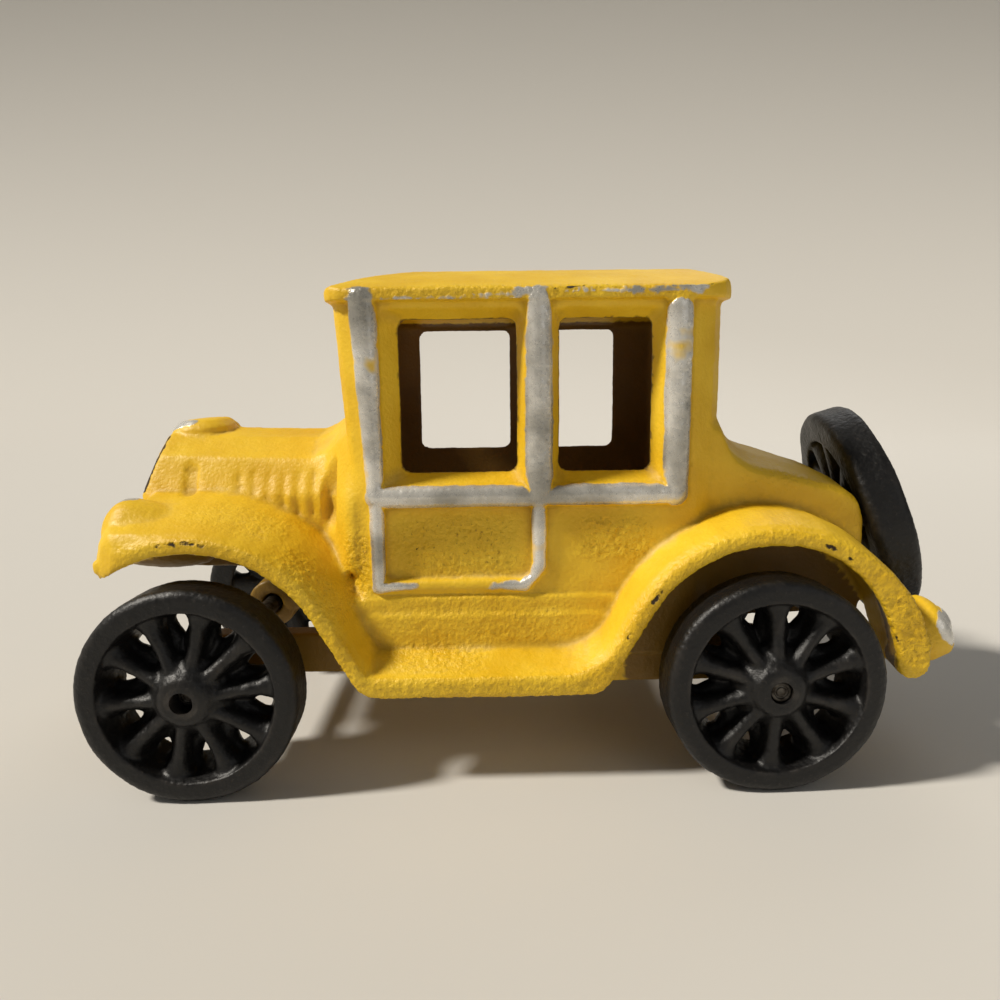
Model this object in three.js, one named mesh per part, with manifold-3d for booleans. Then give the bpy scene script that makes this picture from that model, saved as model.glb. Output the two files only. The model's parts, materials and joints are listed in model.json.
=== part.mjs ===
// Cast iron toy coupe: two body castings clamped on the centre plane, two wheelsets and a spare wheel.
// Millimetres, +Z up. The front points along -X and the left side along -Y.
// While it is built, x is measured back from the front axle. The last step moves the origin to the
// middle of the object's box, on the ground.
import * as THREE from "three";
import { mergeVertices } from "three/addons/utils/BufferGeometryUtils.js";
import Module from "manifold-3d";

const wasm = await Module();
wasm.setup();

// Wheels and axles
const wheelbase = 81.8;
const wheelRadius = 15.4;
const wheelWidth = 7.2;
const widthOverRims = 60.6;
const rimThickness = 3.2;
const edgeRound = 0.9;
const hubRadius = 4.3;
const hubRootRadius = 5.2;
const hubProud = 1.0;
const hubInnerProud = 0.6;
const spokeCount = 10;
const spokeWidthAtHub = 3.1;
const spokeWaist = 2.8;
const spokeFoot = 5.0;
const spokeFootLength = 2.4;
const spokeFlareStart = 1.7;
const spokeThickness = 5.0;
const spokeInset = 1.2;
const spokeCrown = 1.4;
const spokeDraft = 1.1;
const frontSpokePhase = 6;
const rearSpokePhase = 18;
const axleRadius = 1.5;
const pressGap = 0.06;
const bearingGap = 0.5;
const frontAxleRecess = 2.6;
const rearAxleRecess = 0.4;

// Spare wheel and its rivet
const spareRadius = 17.8;
const spareWidth = 6.2;
const spareBehindDeck = 6.1;
const spareHeight = 35.1;
const spareTilt = 18.4;
const spareTurn = 7;
const spareGap = 0.5;
const spareBossRadius = 4.6;
const rivetRadius = 1.5;
const rivetHeadRadius = 3.3;
const rivetHeadHeight = 1.6;
const rivetTailThickness = 1.2;
const rivetGap = 0.3;

// Cab
const wall = 3.0;
const cabHalfWidth = 20.5;
const cabFront = 21.8;
const cabLean = 1.4;
const cabFrontRound = 3.5;
const cabRearRound = 6.0;

// Window openings at the inner face, and how far each edge splays towards the outer face
const windowSill = 45.0;
const windowHeight = 21.4;
const windowTop = windowSill + windowHeight;
const windowCorner = 1.2;
const frontPost = 8.0;
const frontWindowLength = 16.4;
const doorPillarWidth = 6.3;
const rearWindowLength = 13.1;
const rearPost = 10.6;
const frontWindowStart = cabFront + frontPost;
const doorPillar = frontWindowStart + frontWindowLength;
const rearWindowStart = doorPillar + doorPillarWidth;
const rearWindowEnd = rearWindowStart + rearWindowLength;
const cabRear = rearWindowEnd + rearPost;
const sillSplay = 1.9;
const headerSplay = 1.7;
const frontSplay = 3.0;
const pillarSplay = 1.1;
const backSplay = 1.5;
const windscreenHalfWidth = 14.0;
const windscreenSill = windowSill + 10.0;
const backWindowHalfWidth = 6.5;
const backWindowHeight = 7.0;
const backWindowSill = windowSill + 12.0;
const backWindowTop = backWindowSill + backWindowHeight;

// Roof
const headerHeight = 2.6;
const roofRimHeight = 1.7;
const roofRise = 4.2;
const roofRimBottom = windowTop + headerHeight;
const roofRimTop = roofRimBottom + roofRimHeight;
const roofCrown = roofRimTop + roofRise;
const roofOverhang = 1.1;
const roofFrontSlope = 26.0;
const roofRearSlope = 9.0;

// Raised beads and the door panel
const beadRoundness = 0.62;
const beadWidth = 3.8;
const beltWidth = 3.0;
const doorBeadWidth = 1.9;
const doorCorner = 2.3;
const panelDepth = 0.8;
const panelCorner = 0.8;

// Hood, radiator and its cap
const hoodFront = -11.4;
const hoodLean = 1.7;
const hoodTop = 50.5;
const hoodHalfWidth = 12.5;
const hoodCreaseDrop = 3.9;
const hoodCreaseShare = 0.79;
const hoodShoulder = 9.5;
const hoodBottom = 30.0;
const hoodTaper = 2.2;
const hoodSideHeight = hoodTop - hoodShoulder;
const hoodCrease = hoodTop - hoodCreaseDrop;
const hoodNoseRound = 0.7;
const cowlLength = 5.8;
const cowlRise = 4.4;
const cowlFlare = 5.6;
const radiatorBorder = 2.2;
const radiatorRecess = 0.9;
const radiatorBottom = hoodBottom + 3.0;
const capRadius = 5.4;
const capHeight = 3.2;
const capSetback = 1.1;
const capSink = 1.5;
const louvreCount = 6;
const louvrePitch = 2.3;
const louvreWidth = 1.1;
const louvreDepth = 0.55;
const louvreSetback = 0.6;
const louvreReach = 3.4;
const louvreHead = 1.9;

// Rear deck
const deckBehindAxle = 17.3;
const deckEnd = wheelbase + deckBehindAxle;
const deckHalfWidth = 17.4;
const deckTailHalfWidth = 15.6;
const deckBottom = 22.0;
const deckShoulderRound = 1.0;

// Fenders and running boards
const fenderHalfWidth = 27.2;
const archRadius = 19.6;
const rimEdge = 2.3;
const rimRoll = 0.7;
const frontFenderRise = 3.7;
const rearFenderRise = 1.2;
const fenderThickness = 2.8;
const fenderNose = hoodFront - 2.5;
const fenderNoseBottom = 30.5;
const fenderNoseRound = 6.0;
const fenderNoseSetback = 4.5;
const fenderNoseUpright = 3.0;
const fenderNoseLift = 3.4;
const fenderNoseLiftAngles = [95, 130];
const fenderTailWidth = 4.8;
const fenderTailBottom = 15.4;
const fenderTailAngles = [15, 75];
const fenderTailRound = 0.45;
const fenderTailCurl = 1.3;
const archLegAngle = 30;
const noseAngle = 140;
const tailAngle = 12;
const frontSweep = 1.5;
const rearSweep = 9.0;
const boardBottom = 13.7;
const boardThickness = 3.3;
const boardTop = boardBottom + boardThickness;
const boardSlope = 2.2;
const boardLap = 14.0;
const boardCorner = 4.0;

// Two shallow steps of the body side between the running board and the door
const stepHeight = 2.6;
const stepDepth = 0.4;
const stepsTop = boardTop + 9.6;
const doorBottom = stepsTop + 1.7;

// Lamps
const headlampRadius = 4.8;
const headlampLength = 14.0;
const headlampSpread = 18.6;
const headlampHeight = 36.9;
const headlampLens = 3.6;
const headlampFace = fenderNose + headlampLens - 0.2;
const headlampLean = 12;
const tailLampRadius = 4.8;
const tailLampDepth = 4.4;
const tailLampSpread = 21.0;
const tailLampHeight = 20.0;
const tailLampLean = 26;
const tailLampDome = 2.7;

// Frame rails and the lugs that carry the axles
const railOuter = 18.2;
const railThickness = 4.0;
const railTop = boardTop + 3.4;
const frontRailBottom = boardBottom + 0.6;
const rearRailBottom = boardBottom - 1.6;
const railLength = 30.0;
const lugRadius = 4.6;
const lugSideGap = 0.6;

// How far solids run into one another where they become one casting
const lap = 0.5;

// Body screws
const screwRadius = 1.4;
const screwHeadRadius = 2.5;
const screwHeadHeight = 1.7;
const screwSlotWidth = 0.7;
const screwSlotDepth = 0.8;
const screwGap = 0.3;
const screwBossRadius = 3.3;
const screwReach = 7.0;
const screwTipGap = 0.8;
const screwSink = 1.4;
const frontScrewBack = hoodFront + 6.2;
const frontScrewHeight = hoodTop - 6.5;
const rearScrewBack = rearWindowEnd - 4.6;
const rearScrewHeight = windowSill - 11.0;

// Materials
function finish(color, roughness, metalness) {
  return new THREE.MeshStandardMaterial({ color, roughness, metalness });
}
const yellowEnamel = finish("#e8b90f", 0.4, 0.0);
const blackEnamel = finish("#1d1d1e", 0.45, 0.0);
const bareSteel = finish("#6d6a66", 0.4, 1.0);

const radians = THREE.MathUtils.degToRad;
// Longer than the whole car, for cuts that run right through it.
const far = 200;

function evenly(from, to, count) {
  return Array.from({ length: count }, (_, i) => THREE.MathUtils.lerp(from, to, i / (count - 1)));
}

// Values read off a smooth curve through [position, value] points, level beyond its ends.
function curveThrough(points) {
  const positions = points.map(([position]) => position);
  const values = points.map(([, value]) => value);
  const curve = new THREE.CubicInterpolant(positions, values, 1);
  return (at) => curve.evaluate(THREE.MathUtils.clamp(at, positions[0], positions.at(-1)))[0];
}

// A closed geometry as a solid, without the empty triangles at its poles.
function solidFrom(geometry) {
  const bare = geometry.clone();
  bare.deleteAttribute("normal");
  bare.deleteAttribute("uv");
  const merged = mergeVertices(bare, 1e-4);
  const corners = [];
  for (let i = 0; i < merged.index.count; i += 3) {
    const [a, b, c] = [0, 1, 2].map((k) => merged.index.getX(i + k));
    if (a !== b && b !== c && c !== a) corners.push(a, b, c);
  }
  const mesh = new wasm.Mesh({
    numProp: 3,
    vertProperties: merged.attributes.position.array,
    triVerts: new Uint32Array(corners),
  });
  return new wasm.Manifold(mesh);
}

function geometryFrom(solid) {
  const mesh = solid.getMesh();
  const geometry = new THREE.BufferGeometry();
  geometry.setAttribute("position", new THREE.BufferAttribute(new Float32Array(mesh.vertProperties), 3));
  geometry.setIndex(new THREE.BufferAttribute(new Uint32Array(mesh.triVerts), 1));
  return geometry;
}

function joined(solids) {
  return solids.reduce((whole, next) => whole.add(next));
}

// Turns every face of a geometry round.
function flipped(geometry) {
  const index = geometry.index.array;
  for (let i = 0; i < index.length; i += 3) {
    [index[i + 1], index[i + 2]] = [index[i + 2], index[i + 1]];
  }
  return geometry;
}

function signedVolume(geometry) {
  const position = geometry.attributes.position;
  const [a, b, c] = [new THREE.Vector3(), new THREE.Vector3(), new THREE.Vector3()];
  let sum = 0;
  for (let i = 0; i < geometry.index.count; i += 3) {
    a.fromBufferAttribute(position, geometry.index.getX(i));
    b.fromBufferAttribute(position, geometry.index.getX(i + 1));
    c.fromBufferAttribute(position, geometry.index.getX(i + 2));
    sum += a.dot(b.cross(c)) / 6;
  }
  return sum;
}

// A skin through rings that have the same number of points, closed with a flat cap at each end.
function loft(rings) {
  const count = rings[0].length;
  const index = [];
  for (let ring = 0; ring < rings.length - 1; ring += 1) {
    for (let i = 0; i < count; i += 1) {
      const a = ring * count + i;
      const b = ring * count + ((i + 1) % count);
      index.push(a, b, b + count, a, b + count, a + count);
    }
  }
  const capOn = (ring, start, forward) => {
    const corners = ring.map((p) => new THREE.Vector3(...p));
    const along = corners[1].clone().sub(corners[0]).normalize();
    const normal = new THREE.Vector3();
    corners.forEach((p, i) => normal.add(p.clone().cross(corners[(i + 1) % count])));
    const across = normal.normalize().clone().cross(along);
    const outline = corners.map((p) => new THREE.Vector2(p.dot(along), p.dot(across)));
    for (const face of THREE.ShapeUtils.triangulateShape(outline, [])) {
      const counterClockwise = THREE.ShapeUtils.area(face.map((i) => outline[i])) > 0;
      const order = counterClockwise === forward ? face : [face[0], face[2], face[1]];
      index.push(...order.map((i) => i + start));
    }
  };
  capOn(rings[0], 0, false);
  capOn(rings.at(-1), (rings.length - 1) * count, true);
  const geometry = new THREE.BufferGeometry();
  geometry.setAttribute("position", new THREE.Float32BufferAttribute(rings.flat(2), 3));
  geometry.setIndex(index);
  return solidFrom(signedVolume(geometry) < 0 ? flipped(geometry) : geometry);
}

// A flat outline pushed along an axis. The outline holds the other two coordinates in x, y, z order.
function prism(outline, axis, from, to) {
  const place = {
    x: ([y, z], s) => [s, y, z],
    y: ([x, z], s) => [x, s, z],
    z: ([x, y], s) => [x, y, s],
  }[axis];
  return loft([from, to].map((s) => outline.map((p) => place(p, s))));
}

function block([x0, x1], [y0, y1], [z0, z1]) {
  return prism([[x0, y0], [x1, y0], [x1, y1], [x0, y1]], "z", z0, z1);
}

// An outline whose corners [a, b, radius] are rounded with short arcs.
function rounded(corners, steps = 4) {
  const outline = [];
  corners.forEach(([a, b, radius], i) => {
    if (!radius) {
      outline.push([a, b]);
      return;
    }
    const here = new THREE.Vector2(a, b);
    const toward = (corner) => new THREE.Vector2(corner[0], corner[1]).sub(here).normalize();
    const toLast = toward(corners.at(i - 1));
    const toNext = toward(corners[(i + 1) % corners.length]);
    const half = Math.acos(THREE.MathUtils.clamp(toLast.dot(toNext), -1, 1)) / 2;
    const start = here.clone().addScaledVector(toLast, radius / Math.tan(half));
    const end = here.clone().addScaledVector(toNext, radius / Math.tan(half));
    const inward = toLast.clone().add(toNext).normalize();
    const centre = here.clone().addScaledVector(inward, radius / Math.sin(half));
    for (let step = 0; step <= steps; step += 1) {
      const p = start.clone().lerp(end, step / steps).sub(centre).setLength(radius).add(centre);
      outline.push([p.x, p.y]);
    }
  });
  return outline;
}

function roundedBox([a0, a1], [b0, b1], radius) {
  return rounded([[a0, b0, radius], [a1, b0, radius], [a1, b1, radius], [a0, b1, radius]]);
}

// A round piece turned from a profile of [radius, length along the axis].
function lathe(profile, direction, segments) {
  const points = profile.map(([radius, along]) => new THREE.Vector2(radius, along));
  const toward = new THREE.Vector3(...direction).normalize();
  const turn = new THREE.Quaternion().setFromUnitVectors(new THREE.Vector3(0, 1, 0), toward);
  return new THREE.LatheGeometry(points, segments).applyQuaternion(turn);
}
function turned(profile, start, direction, segments = 24) {
  return solidFrom(lathe(profile, direction, segments).translate(...start));
}

function rod(radius, start, direction, from, to, segments = 24) {
  return turned([[0, from], [radius, from], [radius, to], [0, to]], start, direction, segments);
}

// Cab: in plan a rounded box, whose front leans forward above the window sill.
function cabPlan(height, grow) {
  const lean = cabLean * Math.max(0, (height - windowSill) / (windowTop - windowSill));
  const front = cabFront - lean - grow;
  const rear = cabRear + grow;
  const side = cabHalfWidth + grow;
  return rounded([
    [front, -wall, 0],
    [rear, -wall, 0],
    [rear, side, cabRearRound],
    [front, side, cabFrontRound],
  ]);
}

function cabBlock() {
  const heights = [boardTop, windowSill, roofRimTop];
  return loft(heights.map((z) => cabPlan(z, 0).map(([x, y]) => [x, y, z])));
}

// Roof: a low dome over a thin drip rim, with a long slope at the front and a short one at the back.
function roofBlock() {
  const half = cabHalfWidth + roofOverhang;
  const front = cabFront - cabLean - roofOverhang;
  const rear = cabRear + roofOverhang;
  const rise = roofCrown - roofRimTop;
  const arch = evenly(half, 0, 9).map((y) => [y, roofRimTop + rise * (1 - (y / half) ** 2)]);
  const crossSection = [[-wall, roofRimBottom], [half, roofRimBottom], ...arch, [-wall, roofCrown]];
  const slope = (k) => roofRimTop + rise * (1 - (1 - k) ** 3);
  const steps = evenly(0, 1, 7);
  const sideView = [
    [front, roofRimBottom],
    ...steps.map((k) => [front + roofFrontSlope * k, slope(k)]),
    ...steps.toReversed().map((k) => [rear - roofRearSlope * k, slope(k)]),
    [rear, roofRimBottom],
  ];
  const plan = prism(cabPlan(windowTop, roofOverhang), "z", roofRimBottom, roofCrown);
  return prism(crossSection, "x", front, rear).intersect(plan).intersect(prism(sideView, "y", -wall, far));
}

// Window openings: the edges splay outwards from the inner face to the outer face.
const innerFace = cabHalfWidth - wall;
function windowCut(start, end, startSplay, endSplay) {
  const opening = (share, y) =>
    roundedBox(
      [start - startSplay * share, end + endSplay * share],
      [windowSill - sillSplay * share, windowTop + headerSplay * share],
      windowCorner,
    ).map(([x, z]) => [x, y, z]);
  const insideRings = [opening(0, innerFace - wall), opening(0, innerFace)];
  return loft([...insideRings, opening(1, cabHalfWidth), opening(1, far)]);
}
function sideWindows() {
  const front = windowCut(frontWindowStart, doorPillar, frontSplay, pillarSplay);
  const rear = windowCut(rearWindowStart, rearWindowEnd, pillarSplay, backSplay);
  return front.add(rear);
}
function endWindows() {
  const middle = (cabFront + cabRear) / 2;
  const acrossFront = [-windscreenHalfWidth, windscreenHalfWidth];
  const acrossBack = [-backWindowHalfWidth, backWindowHalfWidth];
  const front = roundedBox(acrossFront, [windscreenSill, windowTop], windowCorner);
  const back = roundedBox(acrossBack, [backWindowSill, backWindowTop], windowCorner);
  return prism(front, "x", -far, middle).add(prism(back, "x", middle, far));
}

// Half-round beads on the cab side: a pillar each side of the windows, one between them, the belt
// below them and the frame round the door panel. Their ends are [x, z, width].
const frontBead = frontWindowStart - frontSplay;
const backBead = rearWindowEnd + backSplay;
const pillarBead = doorPillar + doorPillarWidth / 2;
const beltTop = windowSill - sillSplay;
const beltMiddle = beltTop - beltWidth / 2;
const panelAcross = [frontBead, pillarBead - doorBeadWidth / 2];
const panelUp = [doorBottom + doorBeadWidth / 2, beltTop - beltWidth];
function bead([x0, z0, width0], [x1, z1, width1]) {
  const length = Math.hypot(x1 - x0, z1 - z0);
  const roundEnd = (at, half, from, to) =>
    evenly(from, to, 4)
      .map(radians)
      .map((angle) => [half * Math.cos(angle), at + half * Math.sin(angle)]);
  const profile = [...roundEnd(0, width0 / 2, -90, 0), ...roundEnd(length, width1 / 2, 0, 90)];
  const geometry = lathe(profile, [x1 - x0, 0, z1 - z0], 16);
  return solidFrom(geometry.scale(1, beadRoundness, 1).translate(x0, cabHalfWidth, z0));
}
function beads() {
  const frontEdge = frontBead - doorBeadWidth / 2;
  const backEdge = backBead + beadWidth / 2;
  const top = roofRimBottom;
  const door = doorBeadWidth;
  return joined([
    bead([frontBead - beadWidth / 2, top, beadWidth], [frontEdge, beltMiddle, door]),
    bead([pillarBead, top, beadWidth], [pillarBead, beltMiddle, beadWidth]),
    bead([backEdge, top, beadWidth], [backEdge, beltMiddle, beltWidth]),
    bead([frontEdge, beltMiddle, beltWidth], [backEdge, beltMiddle, beltWidth]),
    bead([frontEdge, beltMiddle, door], [frontEdge, doorBottom, door]),
    bead([frontEdge, doorBottom, door], [pillarBead - doorCorner, doorBottom, door]),
    bead([pillarBead - doorCorner, doorBottom, door], [pillarBead, doorBottom + doorCorner, door]),
    bead([pillarBead, doorBottom + doorCorner, door], [pillarBead, beltMiddle, door]),
  ]);
}
function doorPanelCut() {
  return prism(roundedBox(panelAcross, panelUp, panelCorner), "y", cabHalfWidth - panelDepth, far);
}

// Hood: half sections along the car that widen to the back, then rise and flare into the cowl.
const cowlStart = cabFront - cowlLength;
const hoodRise = curveThrough([[hoodFront, 0.3], [0, 0], [cowlStart, 0], [cabFront, cowlRise]]);
const hoodWiden = curveThrough([
  [hoodFront, 0],
  [cowlStart - 1, hoodTaper],
  [cowlStart + 1, hoodTaper],
  [cabFront, hoodTaper + cowlFlare],
]);
function hoodSection(x, inset) {
  const half = hoodHalfWidth + hoodWiden(x) - inset;
  const top = hoodTop + hoodRise(x) - inset;
  const crease = [half * hoodCreaseShare, top - hoodCreaseDrop];
  return [
    [-wall, hoodBottom],
    [half, hoodBottom],
    [half, hoodSideHeight],
    crease,
    [half * 0.42, top - hoodCreaseDrop * 0.28],
    [0, top],
    [-wall, top],
  ].map(([y, z]) => [x, y, z]);
}
// The radiator's face leans back above the hood's sides, up to the crease.
function leanBack(section) {
  const share = (z) => THREE.MathUtils.clamp((z - hoodSideHeight) / (hoodCrease - hoodSideHeight), 0, 1);
  return section.map(([x, y, z]) => [x + hoodLean * share(z), y, z]);
}
function hoodBlock() {
  const ends = [hoodSection(hoodFront, hoodNoseRound), hoodSection(hoodFront + hoodNoseRound, 0)];
  const front = ends.map(leanBack);
  const stations = [0, cowlStart - 1, ...evenly(cowlStart + 1, cabFront + 1, 5)];
  return loft([...front, ...stations.map((x) => hoodSection(x, 0))]).subtract(louvreCuts());
}
function louvreCuts() {
  const last = cowlStart - louvreSetback;
  const first = last - louvrePitch * (louvreCount - 1);
  const top = hoodCrease - louvreHead;
  const bottom = hoodSideHeight - louvreReach;
  const slope = (z) => THREE.MathUtils.mapLinear(z, hoodSideHeight, hoodCrease, 1, hoodCreaseShare);
  const grooves = evenly(first, last, louvreCount).map((x) => {
    const side = hoodHalfWidth + hoodWiden(x);
    const outline = [
      [side - louvreDepth, bottom],
      [side + wall, bottom],
      [side + wall, top],
      [side * slope(top) - louvreDepth, top],
      [side - louvreDepth, hoodSideHeight],
    ];
    return prism(outline, "x", x - louvreWidth / 2, x + louvreWidth / 2);
  });
  return joined(grooves);
}
function radiatorCut() {
  const section = hoodSection(hoodFront, radiatorBorder);
  const ring = (x) => section.map(([, y, z]) => [x, y, Math.max(z, radiatorBottom)]);
  return loft([ring(hoodFront - wall), ring(hoodFront + radiatorRecess)].map(leanBack));
}
function radiatorCap() {
  const profile = [
    [0, -wall],
    [capRadius, -wall],
    [capRadius, capHeight * 0.5],
    [capRadius * 0.72, capHeight * 0.9],
    [0, capHeight],
  ];
  return turned(profile, [hoodFront + capSetback + capRadius, 0, hoodTop - capSink], [-0.06, 0, 1]);
}

// Rear deck: half sections along the car, from the cab's back wall down to the tail. Its top is drawn
// by shares of its length and by heights above the window sill.
const deckAt = (share) => THREE.MathUtils.lerp(cabRear, deckEnd, share);
const deckTop = curveThrough(
  [
    [-0.13, 15],
    [0, 12],
    [0.08, 7],
    [0.21, 3.4],
    [0.415, 1.4],
    [0.65, -0.4],
    [0.87, -2.3],
    [1, -4.9],
  ].map(([share, rise]) => [deckAt(share), windowSill + rise]),
);
const deckHalf = curveThrough([
  [cabRear - cabRearRound, cabHalfWidth - lap],
  [deckAt(0.13), deckHalfWidth],
  [deckEnd, deckTailHalfWidth],
]);
const deckShoulderDrop = curveThrough([[cabRear, 6], [deckAt(0.17), 3.6], [deckAt(0.74), 2], [deckEnd, 1.4]]);
function deckSection(x) {
  const half = deckHalf(x);
  const top = deckTop(x);
  const shoulder = top - deckShoulderDrop(x);
  return [
    [-wall, deckBottom],
    [half, deckBottom],
    [half, shoulder - deckShoulderRound],
    [half - deckShoulderRound, shoulder],
    [half * 0.6, top - deckShoulderDrop(x) * 0.4],
    [0, top],
    [-wall, top],
  ].map(([y, z]) => [x, y, z]);
}
function deckBlock() {
  const shares = [0, 0.03, 0.08, 0.14, 0.21, 0.31, 0.42, 0.65, 0.78, 0.87, 0.95, 1];
  return loft([cabRear - cabRearRound, ...shares.map(deckAt)].map(deckSection));
}

// Fender arch in side view: an arc round the axle, with straight legs that lean away from it.
function archArc(axleAt, radiusAt, fromAngle, toAngle) {
  return evenly(fromAngle, toAngle, 15).map((angle) => {
    const turn = radians(angle);
    const radius = radiusAt(angle);
    return [axleAt + radius * Math.cos(turn), wheelRadius + radius * Math.sin(turn)];
  });
}
function legEnd([x, z], bottom, way) {
  return [x + way * (z - bottom) * Math.tan(radians(archLegAngle)), bottom];
}
const legInside = (axleAt, way) => {
  const angle = way > 0 ? archLegAngle : 180 - archLegAngle;
  return legEnd(archArc(axleAt, () => archRadius, angle, angle)[0], boardBottom, way)[0];
};
const frontLap = legInside(0, 1) + boardLap;
const rearLap = legInside(wheelbase, -1) - boardLap;

// One ring of a fender in side view, which runs on into the running board. The front fender has a
// raised nose, and the rear one a tail as wide as fenderTailWidth at the rim, which curls in a little.
function frontRing({ outer, inner, top, lift }) {
  const raised = (angle) => outer + lift * THREE.MathUtils.smoothstep(angle, ...fenderNoseLiftAngles);
  const outerArc = archArc(0, raised, noseAngle, archLegAngle);
  const innerArc = archArc(0, () => inner, noseAngle, archLegAngle);
  return rounded([
    ...outerArc,
    [...legEnd(outerArc.at(-1), top, 1), frontSweep],
    [frontLap, top],
    [frontLap, boardBottom],
    [...legEnd(innerArc.at(-1), boardBottom, 1), boardCorner],
    ...innerArc.toReversed(),
  ]);
}
function rearRing({ outer, inner, top }) {
  const tailRadius = Math.max(outer, archRadius + fenderTailWidth);
  const crownShare = (angle) => THREE.MathUtils.smoothstep(angle, ...fenderTailAngles);
  const widened = (angle) => THREE.MathUtils.lerp(tailRadius, outer, crownShare(angle));
  const curled = (radius) => (angle) => radius(angle) - fenderTailCurl * (1 - crownShare(angle));
  const outerArc = archArc(wheelbase, curled(widened), 180 - archLegAngle, tailAngle);
  const innerArc = archArc(wheelbase, curled(() => inner), 180 - archLegAngle, tailAngle);
  const tailRound = (outerArc.at(-1)[0] - innerArc.at(-1)[0]) * fenderTailRound;
  return rounded([
    [...legEnd(outerArc[0], top, -1), rearSweep],
    ...outerArc,
    [outerArc.at(-1)[0], fenderTailBottom, tailRound],
    [innerArc.at(-1)[0], fenderTailBottom, tailRound],
    ...innerArc.toReversed(),
    [...legEnd(innerArc[0], boardBottom, -1), boardCorner],
    [rearLap, boardBottom],
    [rearLap, top],
  ]);
}

// Height of the running board's top, which slopes up from its rounded edge to the body.
const flank = fenderHalfWidth - 2 * rimRoll;
const bodyFoot = cabHalfWidth + 2 * stepDepth;
const rimBands = [
  { y: flank, top: boardTop },
  { y: fenderHalfWidth - rimRoll / 2, top: boardTop - rimRoll / 2 },
  { y: fenderHalfWidth, top: boardTop - rimRoll * 1.3 },
];
function boardTopAt(y) {
  return boardTop + (boardSlope * (flank - y)) / (flank - bodyFoot);
}

// A fender is a skin through rings at several widths. It slopes down from the body to a rolled rim.
function fenderSkin(innerY, fullY, rise, ring) {
  const rimOuter = archRadius + rimEdge;
  const sloping = evenly(innerY, flank, 5).map((y) => {
    const outer = rimOuter + rimRoll + rise * Math.min(1, (flank - y) / (flank - fullY));
    const inner = Math.max(archRadius, outer - fenderThickness);
    return { y, outer, inner, top: boardTopAt(y), lift: fenderNoseLift };
  });
  const [, shoulder, edge] = rimBands;
  const rim = [
    { ...shoulder, outer: rimOuter, inner: archRadius, lift: 0 },
    { ...edge, outer: rimOuter - rimRoll / 2, inner: archRadius + rimRoll / 2, lift: 0 },
  ];
  return loft([...sloping, ...rim].map((band) => ring(band).map(([x, z]) => [x, band.y, z])));
}
function frontFender() {
  const skin = fenderSkin(hoodHalfWidth - wall, hoodHalfWidth + 2, frontFenderRise, frontRing);
  const upright = fenderNoseBottom + fenderNoseUpright;
  const noseTop = hoodTop;
  const nosePlan = (z) => {
    const share = Math.max(0, (z - upright) / (hoodSideHeight - upright));
    const front = fenderNose + fenderNoseSetback * share ** 2;
    const plan = rounded([
      [front, 0, 0],
      [far, 0, 0],
      [far, fenderHalfWidth, 0],
      [front, fenderHalfWidth, fenderNoseRound],
    ]);
    return plan.map(([x, y]) => [x, y, z]);
  };
  const nose = loft([boardBottom - 1, ...evenly(upright, noseTop, 7)].map(nosePlan));
  const belowNose = block([-far, 0], [0, far], [0, fenderNoseBottom]);
  return skin.intersect(nose).subtract(belowNose);
}
function rearFender() {
  return fenderSkin(deckTailHalfWidth - lap, cabHalfWidth, rearFenderRise, rearRing);
}

// Running board between the two fenders, and the stepped foot of the body that stands on it.
function runningBoard() {
  const inner = innerFace - 1;
  const section = [
    [inner, boardBottom],
    [fenderHalfWidth, boardBottom],
    ...rimBands.toReversed().map(({ y, top }) => [y, top]),
    [bodyFoot, boardTopAt(bodyFoot)],
    [inner, boardTopAt(bodyFoot)],
  ];
  const board = prism(section, "x", frontLap - lap, rearLap + lap);
  const steps = [1, 2].map((count) => {
    const height = stepsTop - (count - 1) * stepHeight;
    const middle = archRadius + rimEdge;
    const front = archArc(0, () => middle, archLegAngle, archLegAngle)[0];
    const rear = archArc(wheelbase, () => middle, 180 - archLegAngle, 180 - archLegAngle)[0];
    const outline = [
      legEnd(front, boardTop, 1),
      legEnd(rear, boardTop, -1),
      legEnd(rear, height, -1),
      legEnd(front, height, 1),
    ];
    return prism(outline, "y", inner, cabHalfWidth + count * stepDepth);
  });
  return joined([board, ...steps]);
}

// Frame rails with round lugs, which reach out nearly to the wheel hubs.
const rimFace = widthOverRims / 2;
const lugOuter = rimFace - wheelWidth - hubInnerProud - lugSideGap;
const railInner = railOuter - railThickness;
function frameRail(axleAt, way, bottom) {
  const along = [axleAt, axleAt + way * railLength].sort((a, b) => a - b);
  const bar = block(along, [railInner, railOuter], [bottom, railTop]);
  return bar.add(rod(lugRadius, [axleAt, 0, wheelRadius], [0, 1, 0], railInner, lugOuter));
}
function axleHole(axleAt) {
  return rod(axleRadius + bearingGap, [axleAt, 0, wheelRadius], [0, 1, 0], -far, far);
}

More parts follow.
